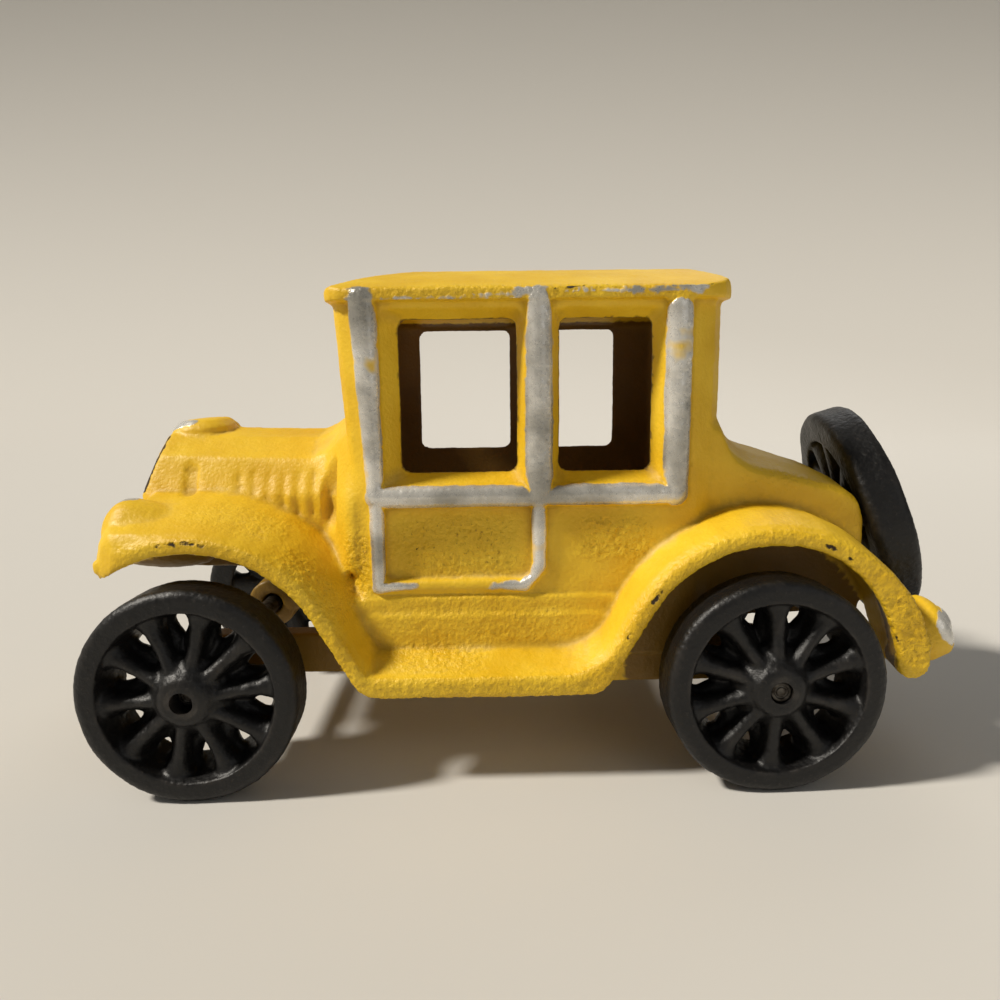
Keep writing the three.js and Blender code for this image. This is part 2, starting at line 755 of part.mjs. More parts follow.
// Lamps: a bullet headlamp on the fender's nose and a drum tail lamp behind the rear fender.
function headlamp() {
  const lean = radians(headlampLean);
  const shell = evenly(0, 1, 8).map((k) => [
    headlampRadius * Math.sqrt(1 - (1 - k) ** 2),
    headlampLength * (k - 1),
  ]);
  const lens = evenly(15, 90, 6)
    .map(radians)
    .map((angle) => [headlampRadius * Math.cos(angle), headlampLens * Math.sin(angle)]);
  lens.at(-1)[0] = 0;
  const place = [headlampFace, headlampSpread, headlampHeight];
  return turned([...shell, ...lens], place, [-Math.cos(lean), 0, Math.sin(lean)]);
}
function tailLamp() {
  const lean = radians(tailLampLean);
  const seat = archRadius + fenderTailWidth - fenderTailCurl;
  const across = Math.sqrt(seat ** 2 - (tailLampHeight - wheelRadius) ** 2);
  const place = [wheelbase + across, tailLampSpread, tailLampHeight];
  const dome = evenly(0, 90, 5)
    .map(radians)
    .map((angle) => [tailLampDome * Math.cos(angle), tailLampDepth + tailLampDome * 0.55 * Math.sin(angle)]);
  dome.at(-1)[0] = 0;
  const drum = [
    [0, -fenderThickness / 2],
    [tailLampRadius * 0.8, -fenderThickness / 2],
    [tailLampRadius, rimRoll],
    [tailLampRadius, tailLampDepth - 1],
    [tailLampRadius - 0.9, tailLampDepth],
  ];
  return turned([...drum, ...dome], place, [Math.cos(lean), 0, Math.sin(lean)]);
}

// The spare wheel's axis runs back and up from the tail and turns a little to the left.
const spareBack = deckEnd + spareBehindDeck;
const spareCentre = [spareBack, 0, spareHeight];
const spareAxis = new THREE.Vector3(1, 0, 0)
  .applyAxisAngle(new THREE.Vector3(0, 1, 0), -radians(spareTilt))
  .applyAxisAngle(new THREE.Vector3(0, 0, 1), -radians(spareTurn))
  .toArray();
const spareHubFront = -spareWidth / 2 - hubInnerProud;
const spareBossInner =
  -(spareBehindDeck + wall) / spareAxis[0] - spareBossRadius * Math.tan(radians(spareTilt));

// Hollows inside the castings, open underneath.
function hollows() {
  const ceiling = roofCrown - wall;
  const cabSection = [
    [-wall, -1],
    [innerFace, -1],
    [innerFace, windowTop + 0.8],
    [innerFace * 0.7, roofRimTop - 0.6],
    [-wall, ceiling],
  ];
  const hoodInner = hoodHalfWidth - wall;
  const hoodSectionInside = [
    [-wall, -1],
    [hoodInner, -1],
    [hoodInner, hoodSideHeight - 1],
    [hoodHalfWidth * hoodCreaseShare - wall, hoodTop - hoodCreaseDrop - wall * 0.7],
    [-wall, hoodTop - wall],
  ];
  const deckInner = deckTailHalfWidth - wall;
  const deckCeiling = deckTop(deckEnd - wall) - wall * 0.6;
  const deckSectionInside = [
    [-wall, -1],
    [deckInner, -1],
    [deckInner, deckCeiling - wall],
    [-wall, deckCeiling],
  ];
  return joined([
    prism(cabSection, "x", cabFront + wall, cabRear - wall),
    prism(hoodSectionInside, "x", hoodFront + wall, cabFront + wall + 1),
    prism(deckSectionInside, "x", cabRear - wall - 1, deckEnd - wall),
  ]);
}

// Body screws: [x, z, the height of the head's seat above the parting plane].
const hoodSideAtScrew = (hoodHalfWidth + hoodWiden(frontScrewBack)) * (1 + hoodCreaseShare) / 2;
const screws = {
  front_body_screw: [frontScrewBack, frontScrewHeight, hoodSideAtScrew - screwSink / 2],
  rear_body_screw: [rearScrewBack, rearScrewHeight, cabHalfWidth - screwSink],
};

// One casting, built on the +Y side. The right one takes the screw heads and the left one the screw tips.
function bodyCasting(takesHeads) {
  const shapes = [cabBlock(), roofBlock(), beads(), hoodBlock(), deckBlock(), frontFender(), rearFender()];
  const fittings = [runningBoard(), radiatorCap(), headlamp(), tailLamp()];
  const openings = [hollows(), doorPanelCut(), radiatorCut(), sideWindows(), endWindows()];
  const spareLine = [spareCentre, [spareAxis[0], spareAxis[1] * (takesHeads ? 1 : -1), spareAxis[2]]];
  const relief = spareWidth / 2 + spareGap;
  openings.push(rod(spareRadius + spareGap, ...spareLine, -relief, relief, 40));
  const outside = joined([...shapes, ...fittings]);
  let body = outside.subtract(joined(openings));
  const spareBoss = rod(spareBossRadius, ...spareLine, spareBossInner, spareHubFront - rivetGap);
  const rails = [frameRail(0, 1, frontRailBottom), frameRail(wheelbase, -1, rearRailBottom)];
  body = joined([body, ...rails, spareBoss]);
  for (const [x, z, seat] of Object.values(screws)) {
    const line = [[x, 0, z], [0, 1, 0]];
    body = body.add(rod(screwBossRadius, ...line, 0, seat - screwSink / 2).intersect(outside));
    if (takesHeads) {
      body = body.subtract(rod(screwRadius + screwGap, ...line, -far, far));
      body = body.subtract(rod(screwHeadRadius + screwGap, ...line, seat, far));
    } else {
      body = body.subtract(rod(screwRadius + pressGap, ...line, -far, screwReach + screwTipGap));
    }
  }
  body = body.subtract(axleHole(0)).subtract(axleHole(wheelbase));
  body = body.subtract(rod(rivetRadius + rivetGap, ...spareLine, -far / 4, 0));
  return body.intersect(block([-far, far], [0, far], [-far, far]));
}

// A wheel that turns about +Y, with its outer rim face at y = 0.
function wheelSolid(radius, width, hubFront, boreRadius, phase) {
  const inner = radius - rimThickness;
  const along = [0, 1, 0];
  const centre = [0, 0, 0];
  const rimProfile = [
    [inner, 0],
    [inner, -width],
    [radius - edgeRound, -width],
    [radius - edgeRound * 0.3, -width + edgeRound * 0.3],
    [radius, -width + edgeRound],
    [radius, -edgeRound],
    [radius - edgeRound * 0.3, -edgeRound * 0.3],
    [radius - edgeRound, 0],
    [inner, 0],
  ];
  const spokeBack = -spokeInset - spokeThickness;
  const hubProfile = [
    [0, -width - hubInnerProud],
    [hubRadius, -width - hubInnerProud],
    [hubRootRadius, spokeBack],
    [hubRootRadius, -spokeInset],
    [hubRadius, 0],
    [hubRadius * 0.9, hubFront],
    [0, hubFront],
  ];
  const arm = (x, halfWidth, crown) => [
    [x, spokeBack, -halfWidth * spokeDraft],
    [x, spokeBack, halfWidth * spokeDraft],
    [x, crown - spokeCrown, halfWidth],
    [x, crown, halfWidth * 0.4],
    [x, crown, -halfWidth * 0.4],
    [x, crown - spokeCrown, -halfWidth],
  ];
  const spokes = evenly(0, 360 - 360 / spokeCount, spokeCount).map((degrees) => {
    const turn = new THREE.Matrix4().makeRotationY(radians(degrees + phase));
    const placed = (points) => points.map((p) => new THREE.Vector3(...p).applyMatrix4(turn).toArray());
    const stations = [
      arm(hubRadius / 2, spokeWidthAtHub / 2, -spokeInset / 2),
      arm((hubRootRadius + inner) / 2, spokeWaist / 2, -spokeInset),
      arm(inner - spokeFootLength, spokeFlareStart, -spokeInset),
      arm(inner + rimThickness / 4, spokeFoot / 2, -spokeInset),
    ];
    return loft(stations.map(placed));
  });
  const rim = turned(rimProfile, centre, along, 4 * spokeCount);
  const hub = turned(hubProfile, centre, along, 2 * spokeCount);
  return joined([rim, hub, ...spokes]).subtract(rod(boreRadius, centre, along, -far, far));
}

const group = new THREE.Group();
group.name = "cast_iron_toy_car";
function addPiece(name, geometry, material) {
  const mesh = new THREE.Mesh(geometry, material);
  mesh.name = name;
  group.add(mesh);
}
function mirrored(geometry) {
  geometry.scale(1, -1, 1);
  return flipped(geometry);
}

addPiece("right_body_half", geometryFrom(bodyCasting(true)), yellowEnamel);
addPiece("left_body_half", mirrored(geometryFrom(bodyCasting(false))), yellowEnamel);

// Wheelsets: two wheels pressed on each axle.
const wheelsets = [
  { end: "front", x: 0, phase: frontSpokePhase, recess: frontAxleRecess },
  { end: "rear", x: wheelbase, phase: rearSpokePhase, recess: rearAxleRecess },
];
for (const { end, x, phase, recess } of wheelsets) {
  for (const side of ["left", "right"]) {
    const boreRadius = axleRadius + pressGap;
    const geometry = geometryFrom(wheelSolid(wheelRadius, wheelWidth, hubProud, boreRadius, phase));
    geometry.translate(x, rimFace, wheelRadius);
    addPiece(`${end}_${side}_wheel`, side === "left" ? mirrored(geometry) : geometry, blackEnamel);
  }
  const reach = rimFace + hubProud - recess;
  const axle = rod(axleRadius, [x, 0, wheelRadius], [0, 1, 0], -reach, reach);
  addPiece(`${end}_axle`, geometryFrom(axle), bareSteel);
}

// Spare wheel on its rivet
const spare = geometryFrom(wheelSolid(spareRadius, spareWidth, hubInnerProud, rivetRadius + rivetGap, 0));
const alongSpare = new THREE.Quaternion().setFromUnitVectors(
  new THREE.Vector3(0, 1, 0),
  new THREE.Vector3(...spareAxis),
);
spare.translate(0, spareWidth / 2, 0).applyQuaternion(alongSpare).translate(...spareCentre);
addPiece("spare_wheel", spare, blackEnamel);
const headAt = spareWidth / 2 + hubInnerProud + rivetGap;
const tailAt = spareBossInner - rivetGap;
const rivetProfile = [
  [0, tailAt - rivetTailThickness],
  [rivetHeadRadius * 0.9, tailAt - rivetTailThickness],
  [rivetHeadRadius * 0.9, tailAt],
  [rivetRadius, tailAt],
  [rivetRadius, headAt],
  [rivetHeadRadius, headAt],
  [rivetHeadRadius * 0.86, headAt + rivetHeadHeight * 0.55],
  [rivetHeadRadius * 0.5, headAt + rivetHeadHeight * 0.9],
  [0, headAt + rivetHeadHeight],
];
addPiece("spare_wheel_rivet", geometryFrom(turned(rivetProfile, spareCentre, spareAxis)), bareSteel);

// Body screws, entering from the right side
for (const [name, [x, z, seat]] of Object.entries(screws)) {
  const headFrom = seat + pressGap;
  const headTo = headFrom + screwHeadHeight;
  const profile = [
    [0, -screwReach],
    [screwRadius, -screwReach],
    [screwRadius, headFrom],
    [screwHeadRadius, headFrom],
    [screwHeadRadius * 0.94, headFrom + screwHeadHeight * 0.45],
    [screwHeadRadius * 0.62, headFrom + screwHeadHeight * 0.85],
    [0, headTo],
  ];
  const slot = block(
    [x - 2 * screwHeadRadius, x + 2 * screwHeadRadius],
    [headTo - screwSlotDepth, far],
    [z - screwSlotWidth / 2, z + screwSlotWidth / 2],
  );
  addPiece(name, geometryFrom(turned(profile, [x, 0, z], [0, 1, 0]).subtract(slot)), bareSteel);
}

// The origin goes to the middle of the box, on the ground.
const box = new THREE.Box3().setFromObject(group);
const middle = box.getCenter(new THREE.Vector3());
for (const piece of group.children) {
  piece.geometry.translate(-middle.x, -middle.y, -box.min.z);
  piece.geometry.computeVertexNormals();
}

export default group;
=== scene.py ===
# %% [markdown]
# # A cast iron toy coupe
# The toy is two painted castings screwed together, with spoked wheels and a spare wheel behind.
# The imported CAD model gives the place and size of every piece. This lesson dresses those solids as
# sand-cast iron under thick hand-brushed paint.

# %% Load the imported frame
import json
import math

import bpy
import numpy as np
from mathutils import Matrix, Vector


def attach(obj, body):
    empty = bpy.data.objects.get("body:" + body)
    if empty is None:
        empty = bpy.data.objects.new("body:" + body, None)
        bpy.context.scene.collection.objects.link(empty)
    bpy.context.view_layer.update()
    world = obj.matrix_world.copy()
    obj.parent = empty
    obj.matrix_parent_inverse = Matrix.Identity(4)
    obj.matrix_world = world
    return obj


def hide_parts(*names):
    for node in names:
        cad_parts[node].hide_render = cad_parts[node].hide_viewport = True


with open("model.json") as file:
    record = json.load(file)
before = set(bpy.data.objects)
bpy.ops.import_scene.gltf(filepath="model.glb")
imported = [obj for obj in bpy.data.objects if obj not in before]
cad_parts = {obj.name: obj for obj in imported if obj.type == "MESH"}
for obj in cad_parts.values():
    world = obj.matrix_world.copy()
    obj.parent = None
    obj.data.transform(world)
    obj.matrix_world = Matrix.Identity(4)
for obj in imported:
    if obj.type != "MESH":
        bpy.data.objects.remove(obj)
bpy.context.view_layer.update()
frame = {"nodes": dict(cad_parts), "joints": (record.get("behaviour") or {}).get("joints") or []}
MM = 0.001
joint_place = {joint["name"]: Vector(joint["pos_m"]) for joint in frame["joints"]}
joint_axis = {joint["name"]: Vector(joint["axis"]) for joint in frame["joints"]}
front_axle = joint_place["front_wheelset_spin"]
rear_axle = joint_place["rear_wheelset_spin"]
print("CAD nodes:", sorted(frame["nodes"]))

# %% [markdown]
# ## Small tools
# Blender's operators act on whatever is selected, so each step first takes hold of one piece.
# A modifier is added, set and applied at once, which leaves plain meshes.

# %% Tools for taking hold of a piece and applying a modifier
def take(*pieces):
    bpy.ops.object.select_all(action="DESELECT")
    for piece in pieces:
        piece.select_set(True)
    if pieces:
        bpy.context.view_layer.objects.active = pieces[0]


def modify(piece, kind, **settings):
    take(piece)
    bpy.ops.object.modifier_add(type=kind)
    modifier = piece.modifiers[-1]
    for name, value in settings.items():
        setattr(modifier, name, value)
    bpy.ops.object.modifier_apply(modifier=modifier.name)


def cut(piece, cutter):
    modify(piece, "BOOLEAN", operation="DIFFERENCE", object=cutter, solver="EXACT")
    bpy.data.objects.remove(cutter)


def join(pieces):
    take(*pieces)
    bpy.ops.object.join()
    return bpy.context.active_object


def copy_of(piece, name, placement=Matrix()):
    copy = bpy.data.objects.new(name, piece.data.copy())
    bpy.context.scene.collection.objects.link(copy)
    copy.data.transform(placement)
    return copy


def triangles(piece):
    piece.data.calc_loop_triangles()
    return len(piece.data.loop_triangles)


print("tools ready")

# %% [markdown]
# A turned piece is a cone or a cylinder, which is a cone with equal radii, on the Z axis. Its place and
# turn are applied at once, so that every finished object sits unturned at the origin.

# %% Tools for turned pieces
def turned(radius_low, radius_high, low, high, bevel=0.0, sides=48):
    take()
    bpy.ops.mesh.primitive_cone_add(
        vertices=sides,
        radius1=radius_low * MM,
        radius2=radius_high * MM,
        depth=(high - low) * MM,
        location=(0, 0, (low + high) / 2 * MM),
    )
    piece = bpy.context.active_object
    bpy.ops.object.transform_apply(location=True, rotation=True, scale=True)
    if bevel:
        modify(piece, "BEVEL", width=bevel * MM, segments=4, limit_method="ANGLE")
    return piece


def stand_along(place, axis):
    turn = Vector((0, 0, 1)).rotation_difference(axis).to_matrix().to_4x4()
    return Matrix.Translation(place) @ turn


def dress(piece, node_name, body, material):
    piece.data.materials.clear()
    piece.data.materials.append(material)
    take(piece)
    bpy.ops.object.shade_smooth_by_angle(angle=math.radians(50))
    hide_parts(node_name)
    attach(piece, body)
    print(piece.name, triangles(piece), "triangles")


print("turning tools ready")

# %% [markdown]
# ## Camera
# The camera stands close to the left side, a little below the roof line of the toy, with a wide lens.
# Its place and turn come from fitting one pinhole camera to the wheels, the windows and the known scale.

# %% Camera at the photograph's viewing angle
CAMERA_PLACE = Vector((-7.0, -131.4, 59.72)) * MM
CAMERA_PITCH_DOWN = 9.61
CAMERA_YAW_RIGHT = 0.76
CAMERA_ROLL = -0.69
FOCAL_PIXELS = 780.5
PICTURE_SIDE = 1000
SENSOR = 36.0

bpy.ops.object.camera_add()
camera = bpy.context.active_object
camera.name = "camera"
camera.data.sensor_width = SENSOR
camera.data.lens = FOCAL_PIXELS / PICTURE_SIDE * SENSOR
camera.data.clip_start = 1 * MM
turn = Matrix.Rotation(math.radians(-CAMERA_YAW_RIGHT), 4, "Z")
turn = turn @ Matrix.Rotation(math.radians(90 - CAMERA_PITCH_DOWN), 4, "X")
turn = turn @ Matrix.Rotation(math.radians(CAMERA_ROLL), 4, "Z")
camera.matrix_world = Matrix.Translation(CAMERA_PLACE) @ turn
bpy.context.scene.camera = camera
print("camera at", tuple(round(v, 4) for v in camera.location))

# %% [markdown]
# ## Materials: the common parts
# Colours are written as sRGB hex values, the way a paint chart gives them, and turned to linear light.
# One function adds a node with its settings and links, and hands back one of its outputs. The width of a
# pattern's spots is given in mm.

# %% Colour, scale and node functions
def colour(hex_code):
    channels = [int(hex_code[i : i + 2], 16) / 255 for i in (1, 3, 5)]
    linear = [c / 12.92 if c <= 0.04045 else ((c + 0.055) / 1.055) ** 2.4 for c in channels]
    return (*linear, 1.0)


def spots_of(size):
    return 1 / (size * MM)


def new_material(name):
    material = bpy.data.materials.new(name)
    material.use_nodes = True
    material.node_tree.nodes.clear()
    return material


def node(material, kind, inputs=None, out=0, **settings):
    added = material.node_tree.nodes.new("ShaderNode" + kind)
    for name, value in settings.items():
        setattr(added, name, value)
    for name, value in (inputs or {}).items():
        if isinstance(value, bpy.types.NodeSocket):
            material.node_tree.links.new(value, added.inputs[name])
        else:
            added.inputs[name].default_value = value
    return added.outputs[out] if added.outputs else None


print("material tools ready")

# %% [markdown]
# ## Yellow enamel with silver beads
# The castings wear thick yellow enamel, and a brush of aluminium paint went over the raised beads.
# The mesh carries its own measures for the material to read. "relief" is how far a point stands out of
# its surroundings, "silver" and "chip" how far it lies inside a painted stroke or a chip, all in mm.
# "sand" runs from 0 where the mould was smooth to 1 where it was rough. "inside" marks the hollows and
# wheel wells, where the paint is darkened: painted shade, partly thin overspray.

# %% Measures and patterns of the yellow enamel
enamel = new_material("yellow_enamel_on_cast_iron")
place = node(enamel, "TexCoord", out="Object")
relief = node(enamel, "Attribute", out="Fac", attribute_name="relief")
silver = node(enamel, "Attribute", out="Fac", attribute_name="silver")
chip = node(enamel, "Attribute", out="Fac", attribute_name="chip")
sand = node(enamel, "Attribute", out="Fac", attribute_name="sand")
dust = node(enamel, "Attribute", out="Fac", attribute_name="dust")
inside = node(enamel, "Attribute", out="Fac", attribute_name="inside")
# Paint thickness drifts over 8 mm, a brush leaves marks of 1.8 mm, and sand grains are half a mm.
drift = node(enamel, "TexNoise", {"Vector": place, "Scale": spots_of(8), "Detail": 3.0})
brush = node(enamel, "TexNoise", {"Vector": place, "Scale": spots_of(1.8), "Detail": 3.0})
grain = node(enamel, "TexNoise", {"Vector": place, "Scale": spots_of(0.55), "Detail": 4.0})

# %% Yellow, its dirt, its painted shade and its dust
# Lemon to golden yellow: thick enamel is deeper in colour than thin.
tone = node(enamel, "MapRange", {"Value": drift, "From Min": 0.35, "From Max": 0.65})
outside = node(enamel, "MixRGB", {"Fac": tone, "Color1": colour("#e4b616"), "Color2": colour("#f1c72a")})
# Inside the castings and in the wheel wells the paint is darkened to brown. This is painted shade for the
# dark hollows, and partly thin overspray over iron.
paint_with_inner_shade = node(enamel, "MixRGB", {"Fac": inside, "Color1": outside, "Color2": colour("#6b4c10")})
# Hollows are darkened to brown: partly dirt, partly painted shade in the creases. Darker specks sit in the
# pits of rough sand.
crease_dirt_and_shade = node(enamel, "MapRange", {"Value": relief, "From Min": -0.06, "From Max": -0.4, "To Max": 0.55})
dirty_and_shaded = node(enamel, "MixRGB", {"Fac": crease_dirt_and_shade, "Color1": paint_with_inner_shade, "Color2": colour("#8a640a")})
pit = node(enamel, "MapRange", {"Value": grain, "From Min": 0.6, "From Max": 0.78})
rough_pit = node(enamel, "Math", {0: pit, 1: sand}, operation="MULTIPLY")
specked = node(enamel, "MixRGB", {"Fac": rough_pit, "Color1": dirty_and_shaded, "Color2": colour("#9c7410")})
# Pale dust lies where a surface faces up beside a wall.
patchy = node(enamel, "MapRange", {"Value": drift, "From Min": 0.45, "From Max": 0.7, "To Max": 0.5})
dust_share = node(enamel, "Math", {0: dust, 1: patchy}, operation="MULTIPLY")
dusty = node(enamel, "MixRGB", {"Fac": dust_share, "Color1": specked, "Color2": colour("#e0c98c")})

# %% Chips down to dark iron
# A chip's edge is ragged: the brush pattern moves it by up to half a millimetre.
ragged = node(enamel, "Math", {0: brush, 1: 1.3, 2: chip}, operation="MULTIPLY_ADD")
chipped = node(enamel, "MapRange", {"Value": ragged, "From Min": 0.68, "From Max": 0.8})
# Other chips sit where a sharp edge meets a strong brush mark.
sharp = node(enamel, "MapRange", {"Value": relief, "From Min": 0.28, "From Max": 0.42})
mark = node(enamel, "MapRange", {"Value": brush, "From Min": 0.7, "From Max": 0.74})
edge_chip = node(enamel, "Math", {0: sharp, 1: mark}, operation="MULTIPLY")
bare = node(enamel, "Math", {0: chipped, 1: edge_chip}, operation="MAXIMUM")
worn = node(enamel, "MixRGB", {"Fac": bare, "Color1": dusty, "Color2": colour("#35260f")})

# %% Brushed silver over the beads
# Aluminium paint: a dull metal, bright and dim by turns. It keeps to what stands out, its edge wanders, and
# yellow shows through in the few places where the brush ran dry.
raised = node(enamel, "Math", {0: relief, 1: 2.0, 2: silver}, operation="MULTIPLY_ADD")
wander = node(enamel, "Math", {0: brush, 1: 1.0, 2: raised}, operation="MULTIPLY_ADD")
stroke = node(enamel, "MapRange", {"Value": wander, "From Min": 0.5, "From Max": 0.75})
dry = node(enamel, "MapRange", {"Value": drift, "From Min": 0.76, "From Max": 0.67})
silvered = node(enamel, "Math", {0: stroke, 1: dry}, operation="MULTIPLY")
glint = node(enamel, "MapRange", {"Value": drift, "From Min": 0.38, "From Max": 0.6})
flake = node(enamel, "MixRGB", {"Fac": glint, "Color1": colour("#a5a299"), "Color2": colour("#e4e1d9")})
skin = node(enamel, "MixRGB", {"Fac": silvered, "Color1": worn, "Color2": flake})
metal = node(enamel, "Math", {0: silvered, 1: 0.45}, operation="MULTIPLY")

# %% Gloss and grain of the enamel
# Satin paint, duller in dirt and on chips; the grain is strong where the sand was rough.
gloss = node(enamel, "MapRange", {"Value": grain, "To Min": 0.32, "To Max": 0.68})
duller = node(enamel, "Math", {0: crease_dirt_and_shade, 1: 0.3, 2: gloss}, operation="MULTIPLY_ADD")
dull_chip = node(enamel, "Math", {0: bare, 1: 0.3, 2: duller}, operation="MULTIPLY_ADD")
dull = node(enamel, "Math", {0: silvered, 1: -0.2, 2: dull_chip}, operation="MULTIPLY_ADD")
grain_share = node(enamel, "MapRange", {"Value": sand, "To Min": 0.25, "To Max": 1.0})
smoother = node(enamel, "Math", {0: silvered, 1: -0.2, 2: grain_share}, operation="MULTIPLY_ADD")
sand_height = node(enamel, "Math", {0: grain, 1: smoother}, operation="MULTIPLY")
brushed = node(enamel, "Math", {0: silvered, 1: brush}, operation="MULTIPLY")
height = node(enamel, "Math", {0: brushed, 1: 0.5, 2: sand_height}, operation="MULTIPLY_ADD")
sunk = node(enamel, "Math", {0: bare, 1: -0.6, 2: height}, operation="MULTIPLY_ADD")
sandy = node(enamel, "Bump", {"Height": sunk, "Strength": 1.0, "Distance": 0.4 * MM})
enamel_shader = node(
    enamel,
    "BsdfPrincipled",
    {"Base Color": skin, "Metallic": metal, "Roughness": dull, "Normal": sandy},
)
node(enamel, "OutputMaterial", {"Surface": enamel_shader})
print("made", enamel.name, "with", len(enamel.node_tree.nodes), "nodes")

# %% [markdown]
# ## Black enamel for the wheels
# The wheels are cast iron in one coat of semi-gloss black. Handling has polished the crests grey, and
# the sand grain breaks the highlights up.

# %% Black enamel over cast iron
black = new_material("black_enamel_on_cast_iron")
place = node(black, "TexCoord", out="Object")
relief = node(black, "Attribute", out="Fac", attribute_name="relief")
grain = node(black, "TexNoise", {"Vector": place, "Scale": spots_of(0.5), "Detail": 4.0})
drift = node(black, "TexNoise", {"Vector": place, "Scale": spots_of(4), "Detail": 3.0})
# Crests are rubbed in patches, and a few grains of iron show through.
crest = node(black, "MapRange", {"Value": relief, "From Min": 0.04, "From Max": 0.28})
handled = node(black, "MapRange", {"Value": drift, "From Min": 0.42, "From Max": 0.62})
rubbed = node(black, "Math", {0: crest, 1: handled}, operation="MULTIPLY")
speck = node(black, "MapRange", {"Value": grain, "From Min": 0.63, "From Max": 0.76, "To Max": 0.5})
shown = node(black, "Math", {0: rubbed, 1: 0.8, 2: speck}, operation="MULTIPLY_ADD", use_clamp=True)
worn_black = node(black, "MixRGB", {"Fac": shown, "Color1": colour("#0b0a0a"), "Color2": colour("#3f3a35")})
gloss = node(black, "MapRange", {"Value": grain, "To Min": 0.32, "To Max": 0.6})
sandy = node(black, "Bump", {"Height": grain, "Strength": 0.8, "Distance": 0.11 * MM})
black_shader = node(
    black,
    "BsdfPrincipled",
    {"Base Color": worn_black, "Roughness": gloss, "Specular IOR Level": 0.42, "Normal": sandy},
)
node(black, "OutputMaterial", {"Surface": black_shader})
print("made", black.name)

# %% [markdown]
# ## Dull steel for axles, screws and the rivet
# Plain drawn rod and cheap fasteners go brown-grey: metal with a patchy film of oxide.

# %% Tarnished steel
steel = new_material("tarnished_steel")
place = node(steel, "TexCoord", out="Object")
film = node(steel, "TexNoise", {"Vector": place, "Scale": spots_of(1.2), "Detail": 5.0})
oxide = node(steel, "MapRange", {"Value": film, "From Min": 0.38, "From Max": 0.6})
steel_colour = node(steel, "MixRGB", {"Fac": oxide, "Color1": colour("#5d5953"), "Color2": colour("#2c2620")})
steel_gloss = node(steel, "MapRange", {"Value": film, "To Min": 0.3, "To Max": 0.65})
pitted = node(steel, "Bump", {"Height": film, "Strength": 0.4, "Distance": 0.1 * MM})
steel_shader = node(
    steel,
    "BsdfPrincipled",
    {"Base Color": steel_colour, "Metallic": 0.9, "Roughness": steel_gloss, "Normal": pitted},
)
node(steel, "OutputMaterial", {"Surface": steel_shader})
print("made", steel.name)

# %% [markdown]
# ## Measures carried by a mesh
# Wear, dirt and the painted shade in the creases follow the shape. The relief of a point is its distance
# from the average of its neighbourhood, along its normal: ridges come out positive and hollows negative.
# Dust settles where a hollow faces up.

# %% Relief and dust measured on a mesh
RELIEF_STEPS = 12
DUSTY_DEPTH = 0.25


def read_vectors(mesh, what):
    values = np.zeros(len(mesh.vertices) * 3)
    mesh.vertices.foreach_get(what, values)
    return values.reshape(-1, 3)


def keep_measure(piece, name, values):
    attribute = piece.data.attributes.new(name, "FLOAT", "POINT")
    attribute.data.foreach_set("value", np.asarray(values, dtype=np.float32))


def measure_relief(piece):
    mesh = piece.data
    points = read_vectors(mesh, "co")
    normals = read_vectors(mesh, "normal")
    ends = np.zeros(len(mesh.edges) * 2, dtype=np.int64)
    mesh.edges.foreach_get("vertices", ends)
    first, second = ends.reshape(-1, 2).T
    count = len(points)
    neighbours = np.maximum(np.bincount(ends, minlength=count), 1)[:, None]
    smooth = points
    for _ in range(RELIEF_STEPS):
        total = np.zeros_like(points)
        for axis in range(3):
            total[:, axis] += np.bincount(first, smooth[second, axis], minlength=count)
            total[:, axis] += np.bincount(second, smooth[first, axis], minlength=count)
        smooth = total / neighbours
    relief = ((points - smooth) * normals).sum(axis=1) / MM
    keep_measure(piece, "relief", relief)
    keep_measure(piece, "dust", np.clip(normals[:, 2], 0, 1) * np.clip(-relief / DUSTY_DEPTH, 0, 1))


print("relief is averaged over", RELIEF_STEPS, "steps")

# %% [markdown]
# ## Marks on the castings
# Places are in mm: back from the front axle, out from the middle plane, and up from the ground. A stroke
# is a line with a half width at each end. A spot is a soft-edged box with its middle, half sizes and
# strength. Both halves of the body get the same marks.

# %% Strokes of silver paint
SIDE = 20.5
ROOF_EDGE = 21.6
PILLAR_TOP = 69.0
BELT = 41.6
DOOR_FOOT = 28.3
FRONT_BEAD = 25.85
MIDDLE_BEAD = 49.35
BACK_BEAD = 69.0

BEADS = [
    ((FRONT_BEAD - 0.95, SIDE, PILLAR_TOP), (FRONT_BEAD, SIDE, BELT), 2.0, 1.3),
    ((FRONT_BEAD, SIDE, BELT), (FRONT_BEAD, SIDE, DOOR_FOOT + 1), 1.15, 1.0),
    ((MIDDLE_BEAD, SIDE, PILLAR_TOP), (MIDDLE_BEAD, SIDE, BELT), 1.8, 2.0),
    ((MIDDLE_BEAD, SIDE, BELT), (MIDDLE_BEAD, SIDE, DOOR_FOOT + 3), 1.2, 1.0),
    ((MIDDLE_BEAD, SIDE, DOOR_FOOT + 3), (MIDDLE_BEAD - 2.3, SIDE, DOOR_FOOT), 1.0, 0.9),
    ((BACK_BEAD, SIDE, PILLAR_TOP - 1.5), (BACK_BEAD, SIDE, BELT), 1.9, 1.9),
    ((FRONT_BEAD, SIDE, BELT), (BACK_BEAD, SIDE, BELT), 1.6, 1.6),
    ((FRONT_BEAD, SIDE, DOOR_FOOT), (FRONT_BEAD + 5.5, SIDE, DOOR_FOOT), 1.0, 0.2),
    ((MIDDLE_BEAD - 8, SIDE, DOOR_FOOT - 0.4), (MIDDLE_BEAD - 2.3, SIDE, DOOR_FOOT), 0.2, 0.9),
]
